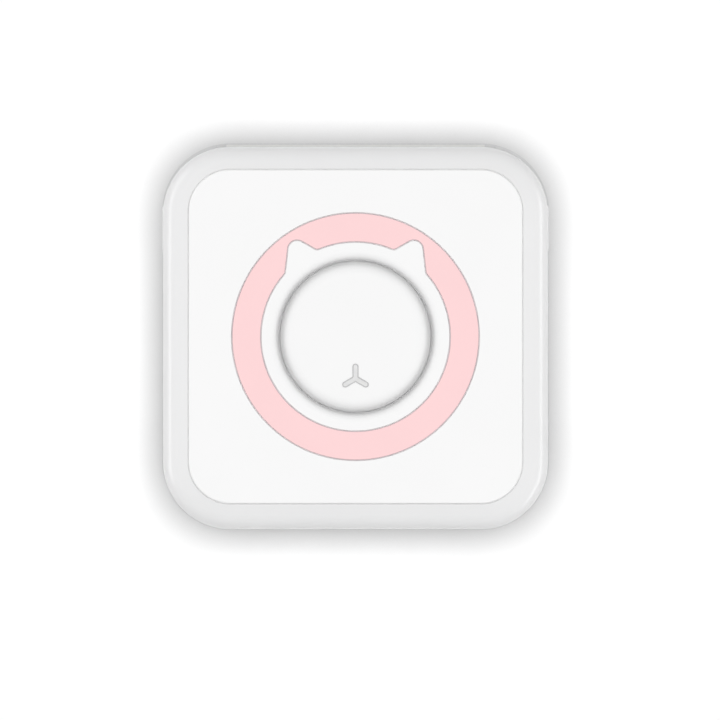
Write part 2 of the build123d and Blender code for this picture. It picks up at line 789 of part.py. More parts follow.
nodes = {
    "base_shell": base_shell,
    "rubber_feet": rubber_feet,
    "tear_bar": tear_bar,
    "paper_tray": paper_tray,
    "tray_screws": lambda: screws(tray_screw_spots, tray_tab_z + tray_tab, 3.3, up=-1),
    "hinge_pin": hinge_pin,
    "platen_bush_right": platen_bush,
    "platen_bush_left": lambda: mirror(platen_bush(), Plane.YZ),
    "paper_strip": paper_strip,
    "platen_shaft": platen_shaft,
    "platen_rubber": platen_rubber,
    "platen_gear": platen_gear,
    "paper_roll": paper_roll,
    "roll_core": roll_core,
    "cover_shell": cover_shell,
    "face_plate": face_plate,
    "accent_ring": accent_ring,
    "power_button": power_button,
    "light_window": light_window,
    "switch_plunger": switch_plunger,
    "tact_switch": tact_switch,
    "roll_hood": roll_hood,
    "hood_screws": lambda: screws(hood_screw_spots, hood_ear_low, 6.0),
    "mech_frame": mech_frame,
    "frame_screws": lambda: screws(frame_screw_spots, bar_z, 6.0),
    "motor_can": motor_can,
    "motor_screws": motor_screws,
    "motor_shaft": motor_shaft,
    "motor_pinion": motor_pinion,
    "idler_axle": idler_axle,
    "idler_clip": idler_clip,
    "idler_gear": idler_gear,
    "head_plate": head_plate,
    "heater_strip": heater_strip,
    "pressure_spring": pressure_spring,
    "head_cable": head_cable,
    "main_board": main_board,
    "board_screws": lambda: screws(board_screw_spots, board_z, 3.0),
    "controller_chip": lambda: chip(-board_half + 9, roll_y - 2, 8, 8, 0.9),
    "driver_chip": lambda: chip(board_half - 11, roll_y + 8, 6, 6, 0.9),
    "radio_shield": lambda: chip(board_half - 14, roll_y - 8, 12, 10, 1.4),
    "status_led": lambda: chip(0, window_y, 1.6, 1.6, 0.7),
    "reset_switch": lambda: chip(tongue_x - 1.5, reset_y, 3.0, 3.6, 2.4, under=True),
    "flex_connector": lambda: chip(0, plug_y, 20, 4, 1.8, under=True),
    "battery_connector": lambda: chip(-board_half + 8, plug_y, 6, 4, 2.2, under=True),
    "motor_connector": lambda: chip(board_half - 9, plug_y, 7, 4, 2.2, under=True),
    "usb_port": usb_port,
    "usb_tongue": usb_tongue,
    "battery": battery,
    "battery_tape": battery_tape,
    "battery_leads": battery_leads,
    "motor_leads": motor_leads,
}

for node, make in nodes.items():
    save(node, make())
print("written", len(nodes), "nodes")
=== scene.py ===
import math

import bmesh
import bpy
from mathutils import Matrix, Vector

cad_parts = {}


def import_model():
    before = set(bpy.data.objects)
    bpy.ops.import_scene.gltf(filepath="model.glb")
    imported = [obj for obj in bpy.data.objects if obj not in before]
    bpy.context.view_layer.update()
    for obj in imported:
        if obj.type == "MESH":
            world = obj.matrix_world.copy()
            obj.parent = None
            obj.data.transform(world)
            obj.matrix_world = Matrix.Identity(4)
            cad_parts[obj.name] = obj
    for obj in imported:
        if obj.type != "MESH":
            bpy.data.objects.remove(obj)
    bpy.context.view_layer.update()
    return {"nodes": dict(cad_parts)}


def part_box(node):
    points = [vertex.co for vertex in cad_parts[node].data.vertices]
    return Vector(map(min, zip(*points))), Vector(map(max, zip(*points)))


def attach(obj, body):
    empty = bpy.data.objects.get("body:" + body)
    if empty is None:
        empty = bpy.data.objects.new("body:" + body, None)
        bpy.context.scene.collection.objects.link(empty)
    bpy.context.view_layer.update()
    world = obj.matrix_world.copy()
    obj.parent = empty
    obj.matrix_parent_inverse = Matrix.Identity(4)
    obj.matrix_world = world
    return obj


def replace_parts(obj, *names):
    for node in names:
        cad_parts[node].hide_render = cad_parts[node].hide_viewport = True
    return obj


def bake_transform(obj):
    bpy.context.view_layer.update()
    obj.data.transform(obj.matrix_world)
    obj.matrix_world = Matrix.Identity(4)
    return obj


MM = 0.001

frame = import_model()
nodes = frame["nodes"]

# Places repeated from the CAD, in millimetres
FACE_Z = 42.0
RING_OUTER = 27.05
PLATE_HALF, PLATE_CORNER = 36.6, 9.2
BOARD_Z = 34.8
ROLL_Y, ROLL_Z = -18.0, 18.1
PLATEN_Y = 28.5
MOTOR_Y, MOTOR_Z = 16.857, 28.692

# Screws as their x places, y places, the height of the head's recess and which way it goes in
SCREWS = {
    "tray_screws": ((-33.5, 33.5), (-24.0, -12.0), 7.3, -1, "base"),
    "hood_screws": ((-34.5, 34.5), (-30.0, -6.0), 19.7, 1, "cover"),
    "frame_screws": ((-27.5, 27.5), (30.0,), 25.4, 1, "cover"),
    "board_screws": ((-28.0, 28.0), (-31.0, 5.0), 33.7, 1, "cover"),
}

# Fine lines on the face, the ring's being painted shade for its gap: widths, and heights from the surface
# they follow, in millimetres
RING_LINE = 0.13
RING_LINE_LOW, RING_LINE_HIGH = -0.05, 0.012
WINDOW_LINE = 0.22
WINDOW_LINE_LOW, WINDOW_LINE_HIGH = -0.06, -0.005
LENS_SINK = 0.02
BEAD_WIDTH = 0.13
BEAD_OFFSET = 0.14
BEAD_LOW, BEAD_HIGH = 41.0, 41.6

# Node detail shared by the looks
RAY_SAMPLES = 4
SKY_SAMPLES = 8
PLASTIC_IOR = 1.5


# Materials
class Look:
    """A principled material with the few node patterns used here, in object coordinates."""

    def __init__(self, name, rough=0.4, metallic=0.0, coat=0.0, coat_rough=0.08, sheen=0.0):
        self.material = bpy.data.materials.new(name)
        self.material.use_nodes = True
        self.tree = self.material.node_tree
        self.tree.nodes.clear()
        out = self.add("OutputMaterial")
        self.shader = self.add("BsdfPrincipled")
        self.link(self.shader.outputs["BSDF"], out.inputs["Surface"])
        self.shader.inputs["Roughness"].default_value = rough
        self.shader.inputs["Metallic"].default_value = metallic
        self.shader.inputs["IOR"].default_value = PLASTIC_IOR
        self.shader.inputs["Coat Weight"].default_value = coat
        self.shader.inputs["Coat Roughness"].default_value = coat_rough
        self.shader.inputs["Sheen Weight"].default_value = sheen
        self.coords = self.add("TexCoord").outputs["Object"]

    def add(self, kind):
        return self.tree.nodes.new("ShaderNode" + kind)

    def link(self, source, target):
        self.tree.links.new(source, target)

    def split(self, vector):
        node = self.add("SeparateXYZ")
        self.link(vector, node.inputs[0])
        return node.outputs

    def stretched(self, scale):
        mapping = self.add("Mapping")
        mapping.inputs["Scale"].default_value = scale
        self.link(self.coords, mapping.inputs["Vector"])
        return mapping.outputs["Vector"]

    def noise(self, size, detail=3.0, rough=0.55, stretch=None, warp=0.0):
        """Noise whose features are about size millimetres across."""
        node = self.add("TexNoise")
        node.inputs["Scale"].default_value = 1.0 / (size * MM)
        node.inputs["Detail"].default_value = detail
        node.inputs["Roughness"].default_value = rough
        node.inputs["Distortion"].default_value = warp
        self.link(self.stretched(stretch) if stretch else self.coords, node.inputs["Vector"])
        return node.outputs["Fac"]

    def cells(self, size, randomness=1.0):
        """Distance to the middle of cells about size millimetres across."""
        node = self.add("TexVoronoi")
        node.inputs["Scale"].default_value = 1.0 / (size * MM)
        node.inputs["Randomness"].default_value = randomness
        self.link(self.coords, node.inputs["Vector"])
        return node.outputs["Distance"]

    def ramp(self, value, *stops):
        node = self.add("ValToRGB")
        elements = node.color_ramp.elements
        while len(elements) < len(stops):
            elements.new(0.5)
        for element, (place, tone) in zip(elements, stops):
            element.position = place
            element.color = (*tone, 1.0)
        self.link(value, node.inputs["Fac"])
        return node.outputs["Color"]

    def cloudy(self, value, dark, light):
        """Two tones that follow the middle range of a noise."""
        return self.ramp(value, (0.3, dark), (0.7, light))

    def fit(self, value, a, b, low, high):
        node = self.add("MapRange")
        node.clamp = True
        for socket, number in zip(("From Min", "From Max", "To Min", "To Max"), (a, b, low, high)):
            node.inputs[socket].default_value = number
        self.link(value, node.inputs["Value"])
        return node.outputs["Result"]

    def between(self, value, low, high):
        """The middle range of a noise, turned into numbers from low to high."""
        return self.fit(value, 0.3, 0.7, low, high)

    def math(self, operation, a, b=None):
        node = self.add("Math")
        node.operation = operation
        for socket, value in zip(node.inputs, (a, b)):
            if isinstance(value, (int, float)):
                socket.default_value = value
            elif value is not None:
                self.link(value, socket)
        return node.outputs["Value"]

    def phase(self, value, pitch):
        """A sawtooth from 0 to 1 that repeats at that pitch in millimetres."""
        return self.math("FRACT", self.math("DIVIDE", value, pitch * MM))

    def mix(self, factor, a, b):
        node = self.add("Mix")
        node.data_type = "RGBA"
        self.link(factor, node.inputs["Factor"])
        for socket, value in ((node.inputs[6], a), (node.inputs[7], b)):
            if isinstance(value, tuple):
                socket.default_value = (*value, 1.0)
            else:
                self.link(value, socket)
        return node.outputs[2]

    def rounded(self, radius):
        """Normals as if edges had that radius in millimetres."""
        bevel = self.add("Bevel")
        bevel.samples = RAY_SAMPLES
        bevel.inputs["Radius"].default_value = radius * MM
        return bevel.outputs["Normal"]

    def edges(self, radius, start, end):
        """1 along sharp outer and inner edges, 0 on flat places."""
        dot = self.add("VectorMath")
        dot.operation = "DOT_PRODUCT"
        self.link(self.rounded(radius), dot.inputs[0])
        self.link(self.add("NewGeometry").outputs["Normal"], dot.inputs[1])
        return self.fit(dot.outputs["Value"], 1.0 - start, 1.0 - end, 0.0, 1.0)

    def open_sky(self, reach):
        """1 on open surfaces, lower in grooves and seams within that reach in millimetres."""
        node = self.add("AmbientOcclusion")
        node.samples = SKY_SAMPLES
        node.inputs["Distance"].default_value = reach * MM
        return node.outputs["AO"]

    def bump(self, layers, soften=0.0):
        """Height layers as (socket, depth in millimetres), over edges softened to that radius."""
        normal = self.rounded(soften) if soften else None
        for height, depth in layers:
            node = self.add("Bump")
            node.inputs["Strength"].default_value = 1.0
            node.inputs["Distance"].default_value = depth * MM
            self.link(height, node.inputs["Height"])
            if normal is not None:
                self.link(normal, node.inputs["Normal"])
            normal = node.outputs["Normal"]
        self.link(normal, self.shader.inputs["Normal"])

    def colour(self, socket):
        self.link(socket, self.shader.inputs["Base Color"])

    def roughness(self, socket):
        self.link(socket, self.shader.inputs["Roughness"])


def shade(tone, factor):
    return tuple(min(1.0, channel * factor) for channel in tone)


def moulded(name, tone, rough, grain, depth=0.004, vary=0.015, wear=None, soften=0.15, painted_shade=0.0, **more):
    """Injection moulded plastic: faint flow clouds, fine grain, hand smudges, slightly worn edges and
    painted shade in grooves and seams.
    """
    look = Look(name, rough=rough, **more)
    flow, specks, worn_patch, smudge_size, fine_size, swell = 18.0, 0.9, 4.0, 14.0, 0.5, 6.0
    groove_reach, groove_tone = 8.0, 0.45
    colour = look.cloudy(look.noise(flow, 2.0), shade(tone, 1.0 - vary), tone)
    speck = look.fit(look.noise(specks, 2.0), 0.68, 0.78, 0.0, 0.5)
    colour = look.mix(speck, colour, shade(tone, 0.985))
    if wear:
        patch = look.fit(look.noise(worn_patch, 2.0), 0.4, 0.7, 0.0, 0.7)
        darker_edges = look.math("MULTIPLY", look.edges(0.25, 0.06, 0.35), patch)
        colour = look.mix(darker_edges, colour, wear)
    # Painted shade: the colour darkens towards a shaded tone in grooves and seams within the occlusion
    # reach
    if painted_shade:
        opening = look.open_sky(groove_reach)
        slope = look.fit(opening, 0.6, 0.98, painted_shade, 0.0)
        depth_fade = look.fit(opening, 0.15, 0.5, 0.15, 1.0)
        colour = look.mix(look.math("MULTIPLY", slope, depth_fade), colour, shade(tone, groove_tone))
    look.colour(colour)
    smudge = look.fit(look.noise(smudge_size, 3.0), 0.25, 0.75, rough - 0.02, rough + 0.02)
    fine = look.between(look.noise(fine_size, 2.0), -0.01, 0.01)
    look.roughness(look.math("ADD", smudge, fine))
    look.bump([(look.noise(grain, 2.0), depth), (look.noise(swell, 1.0), depth * 2)], soften)
    return look.material


def metal(name, tone, rough, line=(1.0, 14.0, 14.0), depth=0.003, soften=0.08):
    """Plated or milled metal: drawn lines one way, cloudy roughness and a duller bloom in patches."""
    look = Look(name, rough=rough, metallic=1.0)
    patches, drawn_size, tarnish = 4.0, 2.2, 0.9
    bloom = look.noise(patches, 4.0, 0.6)
    look.colour(look.cloudy(bloom, shade(tone, tarnish), tone))
    drawn = look.noise(drawn_size, 4.0, 0.6, stretch=line)
    lines = look.between(drawn, rough - 0.06, rough + 0.08)
    look.roughness(look.math("ADD", lines, look.between(bloom, 0.05, -0.03)))
    look.bump([(drawn, depth)], soften)
    return look.material


def rubber(name, tone, rough=0.75, grain=0.25, depth=0.01):
    """Matte elastomer with a fine pitted skin and dust."""
    look = Look(name, rough=rough, sheen=0.15)
    dust = look.fit(look.noise(2.5, 5.0, 0.65), 0.5, 0.75, 0.0, 0.35)
    base = look.cloudy(look.noise(5.0, 3.0), shade(tone, 0.92), tone)
    look.colour(look.mix(dust, base, shade(tone, 1.15)))
    look.roughness(look.between(look.noise(1.2, 3.0), rough - 0.08, rough + 0.08))
    look.bump([(look.cells(grain), depth), (look.noise(1.8, 2.0), depth)], 0.1)
    return look.material


def paper_look(name):
    """Coated thermal paper: wound layers show as rings on the roll's ends, faint fibres elsewhere."""
    look = Look(name, rough=0.5, sheen=0.1)
    layer_pitch = 0.24
    place = look.split(look.coords)
    across = look.math("SUBTRACT", place["Y"], ROLL_Y * MM)
    up = look.math("SUBTRACT", place["Z"], ROLL_Z * MM)
    squares = look.math("ADD", look.math("MULTIPLY", across, across), look.math("MULTIPLY", up, up))
    layers = look.phase(look.math("SQRT", squares), layer_pitch)
    uneven = look.math("MULTIPLY", layers, look.between(look.noise(2.0, 3.0), 0.4, 1.0))
    facing = look.split(look.add("NewGeometry").outputs["Normal"])
    end = look.fit(look.math("ABSOLUTE", facing["X"]), 0.8, 0.95, 0.0, 1.0)
    rings = look.math("MULTIPLY", uneven, end)
    fibres = look.noise(0.7, 4.0, 0.7, stretch=(0.5, 1.0, 1.0))
    base = look.cloudy(fibres, (0.86, 0.86, 0.84), (0.90, 0.90, 0.885))
    look.colour(look.mix(look.math("MULTIPLY", rings, 0.55), base, (0.66, 0.66, 0.65)))
    look.roughness(look.between(look.noise(3.0, 3.0), 0.42, 0.58))
    look.bump([(rings, 0.03), (fibres, 0.003)])
    return look.material


def board_look(name):
    """Green solder mask over copper: lighter traces, a slight weave and glossy varnish."""
    look = Look(name, rough=0.28, coat=0.25)
    place = look.split(look.coords)
    pitch, bend, sway, share = 0.62, 9.0, 3.0, 0.42

    def tracks(axis):
        wander = look.fit(look.cells(bend, 0.9), 0.0, 1.0, 0.0, 1.0)
        shifted = look.math("ADD", place[axis], look.math("MULTIPLY", wander, pitch * MM * sway))
        return look.math("LESS_THAN", look.phase(shifted, pitch), share)

    patch = look.math("GREATER_THAN", look.noise(7.0, 1.0, 0.4), 0.5)
    along = look.math("MULTIPLY", tracks("X"), patch)
    across = look.math("MULTIPLY", tracks("Y"), look.math("SUBTRACT", 1.0, patch))
    traces = look.math("ADD", along, across)
    pour = look.math("GREATER_THAN", look.noise(11.0, 1.0, 0.4, stretch=(1.3, 0.8, 1.0)), 0.52)
    copper = look.math("MAXIMUM", look.math("MULTIPLY", traces, 0.8), pour)
    look.colour(look.mix(copper, (0.008, 0.07, 0.03), (0.02, 0.135, 0.055)))
    look.roughness(look.between(look.noise(2.0, 3.0), 0.22, 0.36))
    warp_threads = look.noise(0.35, 1.0, stretch=(1.0, 0.2, 1.0))
    weft_threads = look.noise(0.35, 1.0, stretch=(0.2, 1.0, 1.0))
    look.bump([(copper, 0.012), (look.math("MULTIPLY", warp_threads, weft_threads), 0.006)])
    return look.material


def flex_look(name):
    """Amber polyimide over fine parallel copper tracks."""
    look = Look(name, rough=0.25, coat=0.4)
    pitch, share = 0.5, 0.6
    track = look.math("LESS_THAN", look.phase(look.split(look.coords)["X"], pitch), share)
    look.colour(look.mix(track, (0.30, 0.11, 0.02), (0.62, 0.27, 0.07)))
    look.roughness(look.between(look.noise(2.5, 3.0), 0.2, 0.34))
    look.bump([(track, 0.012), (look.noise(3.0, 2.0), 0.02)])
    return look.material


def foil_look(name):
    """Laminated pouch foil with soft creases and dimples."""
    look = Look(name, rough=0.36, metallic=1.0)
    crease = look.noise(5.0, 5.0, 0.6, stretch=(1.0, 1.6, 1.0), warp=0.8)
    look.colour(look.cloudy(look.noise(7.0, 3.0), (0.58, 0.59, 0.61), (0.72, 0.73, 0.75)))
    look.roughness(look.between(look.noise(1.5, 4.0), 0.28, 0.46))
    look.bump([(crease, 0.18), (look.noise(0.4, 2.0), 0.004)], 0.2)
    return look.material


def foam_look(name):
    """Open foam tape with two sizes of pores."""
    look = Look(name, rough=0.9, sheen=0.2)
    pores, small_pores = 0.4, 0.15
    look.colour(look.ramp(look.cells(pores), (0.1, (0.62, 0.62, 0.6)), (0.6, (0.82, 0.82, 0.8))))
    look.bump([(look.cells(pores), 0.1), (look.cells(small_pores), 0.04)])
    return look.material


def ceramic_look(name):
    """Glazed substrate with the thin heater line and its fine electrode comb."""
    look = Look(name, rough=0.12, coat=0.6)
    pitch, half_line, half_comb = 0.25, 0.18, 2.4
    place = look.split(look.coords)
    comb = look.math("LESS_THAN", look.phase(place["X"], pitch), 0.5)
    off = look.math("ABSOLUTE", look.math("SUBTRACT", place["Y"], PLATEN_Y * MM))
    line = look.math("LESS_THAN", off, half_line * MM)
    electrodes = look.math("MULTIPLY", comb, look.math("LESS_THAN", off, half_comb * MM))
    base = look.cloudy(look.noise(4.0, 3.0), (0.33, 0.26, 0.19), (0.40, 0.32, 0.24))
    base = look.mix(electrodes, base, (0.55, 0.43, 0.22))
    look.colour(look.mix(line, base, (0.06, 0.04, 0.035)))
    look.roughness(look.between(look.noise(2.0, 3.0), 0.08, 0.18))
    look.bump([(electrodes, 0.003), (line, 0.03)], 0.1)
    return look.material


def window_look(name):
    """Milky diffuser resin with faint cloud inside."""
    look = Look(name, rough=0.3)
    look.shader.inputs["Subsurface Weight"].default_value = 0.3
    look.shader.inputs["Subsurface Radius"].default_value = (0.0012, 0.0012, 0.0011)
    # Darker towards grey along the window's edges
    darker_edges = look.edges(0.22, 0.01, 0.14)
    base = look.cloudy(look.noise(1.5, 3.0), (0.74, 0.74, 0.74), (0.78, 0.78, 0.78))
    look.colour(look.mix(darker_edges, base, (0.5, 0.5, 0.51)))
    look.roughness(look.between(look.noise(0.8, 3.0), 0.24, 0.38))
    look.bump([(look.noise(0.3, 2.0), 0.003)], 0.08)
    return look.material


def led_look(name):
    """Clear resin over pale phosphor."""
    look = Look(name, rough=0.1)
    look.shader.inputs["Transmission Weight"].default_value = 0.35
    look.colour(look.cloudy(look.noise(0.5, 2.0), (0.80, 0.76, 0.50), (0.90, 0.87, 0.66)))
    look.bump([(look.noise(0.3, 2.0), 0.004)], 0.05)
    return look.material


def line_look(name, faint, full):
    """Thin darker border line, a little lighter in places along its length."""
    look = Look(name, rough=0.5)
    look.colour(look.cloudy(look.noise(1.2, 4.0), full, faint))
    look.roughness(look.between(look.noise(0.4, 2.0), 0.42, 0.6))
    look.bump([(look.noise(0.2, 2.0), 0.003)])
    return look.material


SHELL = (0.82, 0.82, 0.823)
SHELL_WORN = (0.76, 0.76, 0.76)
PLATE = (0.93, 0.93, 0.93)
BUTTON = (0.92, 0.92, 0.92)
PINK = (0.985, 0.682, 0.69)

# Each entry is a slot's tone and roughness, with what differs from a plain moulding
# The shell, plate and button take painted shade in their grooves and seams
MOULDED = {
    "shell_white": (SHELL, 0.3, dict(grain=0.6, depth=0.0015, vary=0.012, wear=SHELL_WORN, painted_shade=0.25,
                                     coat=0.45, coat_rough=0.14)),
    "plate_white": (PLATE, 0.34, dict(grain=0.3, depth=0.002, vary=0.01, painted_shade=0.36)),
    "button_white": (BUTTON, 0.3, dict(grain=0.3, depth=0.0015, vary=0.01, painted_shade=0.36)),
    "ring_pink": (PINK, 0.5, dict(grain=0.22, vary=0.02)),
    "inner_plastic": ((0.74, 0.74, 0.735), 0.5, dict(grain=0.25, depth=0.01, vary=0.03)),
    "bush_plastic": ((0.72, 0.66, 0.52), 0.45, dict(grain=0.3, depth=0.006, vary=0.03)),
    "gear_plastic": ((0.80, 0.78, 0.70), 0.42, dict(grain=0.3, depth=0.006, vary=0.03, soften=0.06)),
    "core_plastic": ((0.13, 0.135, 0.16), 0.5, dict(grain=0.25, depth=0.008, vary=0.06)),
    "chip_black": ((0.022, 0.022, 0.024), 0.5, dict(grain=0.12, depth=0.008, vary=0.2, soften=0.08)),
    "connector_white": ((0.76, 0.73, 0.64), 0.45, dict(grain=0.2, depth=0.006, vary=0.03)),
    "lead_red": ((0.42, 0.012, 0.012), 0.38, dict(grain=0.3, depth=0.006, vary=0.08)),
    "lead_white": ((0.78, 0.78, 0.77), 0.38, dict(grain=0.3, depth=0.006, vary=0.03)),
    "passive_body": ((0.16, 0.12, 0.09), 0.45, dict(grain=0.15, vary=0.3, soften=0.03)),
    "amber_tape": ((0.55, 0.27, 0.05), 0.3, dict(grain=0.4, depth=0.006, vary=0.08, soften=0.0)),
}
looks = {slot: moulded(slot, tone, rough, **more) for slot, (tone, rough, more) in MOULDED.items()}
looks["window_grey"] = window_look("window_grey")
looks["foot_rubber"] = rubber("foot_rubber", (0.50, 0.50, 0.50))
looks["steel"] = metal("steel", (0.62, 0.62, 0.63), 0.3)
looks["platen_rubber"] = rubber("platen_rubber", (0.035, 0.035, 0.038), 0.62, grain=0.16, depth=0.012)
looks["paper"] = paper_look("paper")
looks["brass"] = metal("brass", (0.76, 0.56, 0.25), 0.28, soften=0.05)
milled = (0.4, 9.0, 9.0)
looks["head_aluminium"] = metal("head_aluminium", (0.70, 0.70, 0.72), 0.34, line=milled, depth=0.004)
looks["head_ceramic"] = ceramic_look("head_ceramic")
looks["flex_film"] = flex_look("flex_film")
looks["board_green"] = board_look("board_green")
looks["led"] = led_look("led")
looks["cell_foil"] = foil_look("cell_foil")
looks["tape_foam"] = foam_look("tape_foam")
# The ring's line is painted shade for the gap round the inlay
looks["ring_border"] = line_look("ring_border", (0.61, 0.48, 0.50), (0.53, 0.41, 0.43))
looks["window_border"] = line_look("window_border", (0.62, 0.62, 0.62), (0.52, 0.52, 0.52))
looks["contact_gold"] = metal("contact_gold", (0.83, 0.62, 0.25), 0.22, depth=0.002)
looks["solder_tin"] = metal("solder_tin", (0.72, 0.73, 0.74), 0.24, line=(1.0, 1.0, 1.0), depth=0.01)

for node in nodes.values():
    for place in node.material_slots:
        place.material = looks[place.material.name.split(".")[0]]


# Pieces
def piece(name, bm, body, slot, look=None, smooth=False):
    """A new object from a bmesh, riding on a body. Its look is its slot's, or the one named."""
    mesh = bpy.data.meshes.new(name)
    bm.to_mesh(mesh)
    bm.free()
    obj = bpy.data.objects.new(name, mesh)
    bpy.context.scene.collection.objects.link(obj)
    mesh.materials.append(looks[look or slot])
    for face in mesh.polygons:
        face.use_smooth = smooth
    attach(obj, body)
    return obj


def node_copy(node, name):
    """A new object with a node's mesh, which takes the node's place."""
    obj = bpy.data.objects.new(name, nodes[node].data.copy())
    bpy.context.scene.collection.objects.link(obj)
    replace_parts(obj, node)
    return obj


def add_box(bm, low, high, bevel):
    """A box between two corners in millimetres, with rounded edges."""
    made = bmesh.ops.create_cube(bm, size=1.0)
    size = [(b - a) * MM for a, b in zip(low, high)]
    middle = [(a + b) / 2 * MM for a, b in zip(low, high)]
    place = Matrix.Translation(middle) @ Matrix.Diagonal((*size, 1.0))
    bmesh.ops.transform(bm, matrix=place, verts=made["verts"])
    edges = list({edge for vert in made["verts"] for edge in vert.link_edges})
    bmesh.ops.bevel(bm, geom=edges, offset=bevel * MM, segments=2, affect="EDGES", profile=0.5)


def box_piece(name, corners, body, slot, bevel, look=None, replaces=None):
    """One piece made of several boxes with rounded edges, in millimetres."""
    bm = bmesh.new()
    for low, high in corners:
        add_box(bm, low, high, bevel)
    obj = piece(name, bm, body, slot, look)
    if replaces:
        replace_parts(obj, replaces)
    return obj


def node_box(node):
    """A node's two corners in millimetres."""
    low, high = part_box(node)
    return [c / MM for c in low], [c / MM for c in high]


def top_loops(node, height):
    """The closed outlines of a node's flat top at that height in millimetres, as lists of x and y."""
    mesh = nodes[node].data
    level = height * MM
    ids = {}
    places = []
    same = {}
    for vert in mesh.vertices:
        key = (round(vert.co.x, 7), round(vert.co.y, 7), round(vert.co.z, 7))
        same.setdefault(key, len(same))
        ids[vert.index] = same[key]
        if same[key] == len(places):
            places.append(vert.co.copy())
    count = {}
    for face in mesh.polygons:
        if face.normal.z > 0.99 and abs(face.center.z - level) < 0.01 * MM:
            corners = [ids[v] for v in face.vertices]
            for a, b in zip(corners, corners[1:] + corners[:1]):
                edge = (min(a, b), max(a, b))
                count[edge] = count.get(edge, 0) + 1
    links = {}
    for (a, b), times in count.items():
        if times == 1:
            links.setdefault(a, []).append(b)
            links.setdefault(b, []).append(a)
    loops = []
    left = set(links)
    while left:
        here = min(left)
        left.discard(here)
        loop = [here]
        while True:
            steps = [n for n in links[here] if n in left]
            if not steps:
                break
            here = steps[0]
            left.discard(here)
            loop.append(here)
        loops.append([(places[i].x, places[i].y) for i in loop])
    return loops


def rounded_loop(half, corner, steps=12):
    """Points round a rounded square given in millimetres, in metres."""
    points = []
    for quarter, (sx, sy) in enumerate(((1, 1), (-1, 1), (-1, -1), (1, -1))):
        for step in range(steps + 1):
            angle = math.pi / 2 * (quarter + step / steps)
            x = sx * (half - corner) + corner * math.cos(angle)
            y = sy * (half - corner) + corner * math.sin(angle)
            points.append((x * MM, y * MM))
    return points


def border_strip(bm, loop, width, low, high, inward=False):
    """A thin strip along a closed outline, inside it where inward or where it is the ring's outer edge."""
    area = sum(x0 * y1 - x1 * y0 for (x0, y0), (x1, y1) in zip(loop, loop[1:] + loop[:1]))
    if area < 0:
        loop = loop[::-1]
    reach = max(math.hypot(x, y) for x, y in loop)
    outward = -1.0 if inward or reach > 0.99 * RING_OUTER * MM else 1.0
    count = len(loop)
    rows = []
    for i in range(count):
        before, here, after = Vector(loop[i - 1]), Vector(loop[i]), Vector(loop[(i + 1) % count])
        along = (here - before).normalized() + (after - here).normalized()
        along.normalize()
        side = Vector((along.y, -along.x)) * outward
        rows.append((here, here + side * width * MM))
    verts = []
    for edge, far in rows:
        corners = ((edge, low), (edge, high), (far, high), (far, low))
        verts.append([bm.verts.new((p.x, p.y, z * MM)) for p, z in corners])
    for i in range(count):
        a, b = verts[i], verts[(i + 1) % count]
        for k in range(4):
            bm.faces.new((a[k], a[(k + 1) % 4], b[(k + 1) % 4], b[k]))
    bmesh.ops.recalc_face_normals(bm, faces=bm.faces[:])


# Fine lines round the ring, where the line is painted shade for its gap, and round the light window, which
# lies a hair below its line
bm = bmesh.new()
for outline in top_loops("accent_ring", FACE_Z):
    border_strip(bm, outline, RING_LINE, FACE_Z + RING_LINE_LOW, FACE_Z + RING_LINE_HIGH)
piece("ring_painted_shade_line", bm, "cover", "ring_pink", "ring_border")

window_top = node_box("light_window")[1][2]
bm = bmesh.new()
for outline in top_loops("light_window", window_top):
    low, high = window_top + WINDOW_LINE_LOW, window_top + WINDOW_LINE_HIGH
    border_strip(bm, outline, WINDOW_LINE, low, high, inward=True)
piece("window_border_line", bm, "button", "window_grey", "window_border")

lens = node_copy("light_window", "light_window_lens")
for vert in lens.data.vertices:
    if vert.co.z > (window_top - 0.001) * MM:
        vert.co.z -= LENS_SINK * MM
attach(lens, "button")

# Bead in the gap round the face plate
bm = bmesh.new()
outline = rounded_loop(PLATE_HALF + BEAD_OFFSET, PLATE_CORNER + BEAD_OFFSET)
border_strip(bm, outline, BEAD_WIDTH, BEAD_LOW, BEAD_HIGH)
piece("plate_gap_bead", bm, "cover", "plate_white")


# Board parts, each in the space of its CAD block
def package(node, pins, pitch, side_pins):
    """A moulded chip on short bent legs."""
    (x0, y0, z0), (x1, y1, z1) = node_box(node)
    lead, overlap, half_leg, leg_thick, lift = 0.55, 0.1, 0.11, 0.14, 0.08
    case = [((x0 + lead, y0 + lead, z0 + lift), (x1 - lead, y1 - lead, z1))]
    box_piece(node + "_case", case, "cover", "chip_black", 0.12, replaces=node)
    legs = []
    for index in range(pins):
        step = (index - (pins - 1) / 2) * pitch
        mx, my = (x0 + x1) / 2 + step, (y0 + y1) / 2 + step
        for a, b in ((y0, y0 + lead + overlap), (y1 - lead - overlap, y1)):
            legs.append(((mx - half_leg, a, z0), (mx + half_leg, b, z0 + leg_thick)))
        if side_pins:
            for a, b in ((x0, x0 + lead + overlap), (x1 - lead - overlap, x1)):
                legs.append(((a, my - half_leg, z0), (b, my + half_leg, z0 + leg_thick)))
    box_piece(node + "_legs", legs, "cover", "steel", 0.03, "solder_tin")


